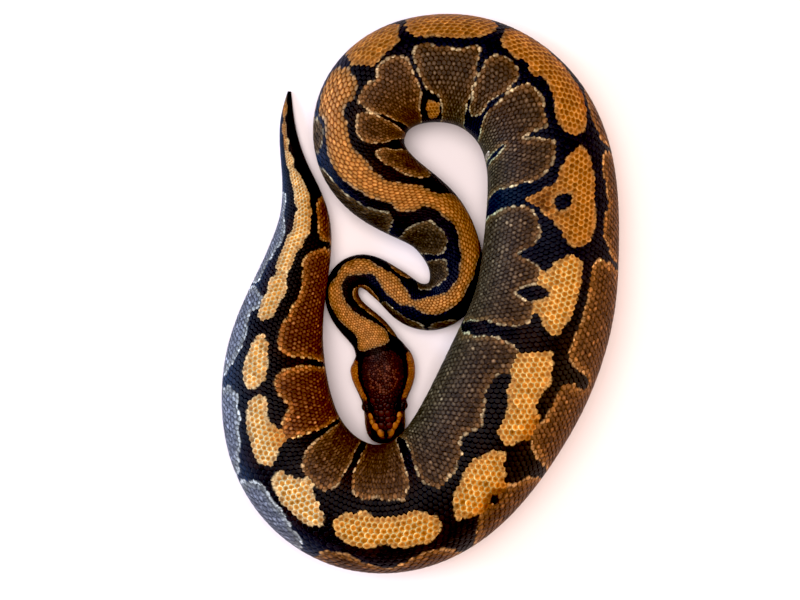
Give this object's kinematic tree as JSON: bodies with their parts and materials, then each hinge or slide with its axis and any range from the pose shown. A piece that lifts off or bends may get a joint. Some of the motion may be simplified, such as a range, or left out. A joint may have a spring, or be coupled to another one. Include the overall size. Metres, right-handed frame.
{
  "type": "coiled ball python model",
  "caption": "Life-size still model of a ball python lying coiled on its belly, blunt head inside the coil, short tapering tail, smooth scaled skin with dark, brown and gold blotches.",
  "frame": {"origin": "under the middle of the coil's bounding box, on the floor plane the belly lies on", "axes": "+Z up from belly to back; +Y along the coil's longer side, the snout points towards -Y; +X to the right seen from above with +Y up"},
  "size_m": [0.2168, 0.3054, 0.0652],
  "materials": {
    "head_skin": "smooth satin shields and fine granular scales, dark crown, ochre side stripes",
    "body_skin": "smooth glossy scales, black ground with brown and gold blotches",
    "eye": "wet gloss under a clear spectacle"
  },
  "bodies": {
    "root": {"head": "head_skin", "lower_jaw": "head_skin", "eye_left": "eye", "eye_right": "eye", "neck_1": "body_skin", "neck_2": "body_skin", "neck_3": "body_skin", "neck_4": "body_skin", "trunk_1": "body_skin", "trunk_2": "body_skin", "trunk_3": "body_skin", "trunk_4": "body_skin", "trunk_5": "body_skin", "trunk_6": "body_skin", "trunk_7": "body_skin", "trunk_8": "body_skin", "trunk_9": "body_skin", "trunk_10": "body_skin", "trunk_11": "body_skin", "trunk_12": "body_skin", "trunk_13": "body_skin", "trunk_14": "body_skin", "trunk_15": "body_skin", "trunk_16": "body_skin", "trunk_17": "body_skin", "tail_1": "body_skin", "tail_2": "body_skin"}
  },
  "joints": []
}
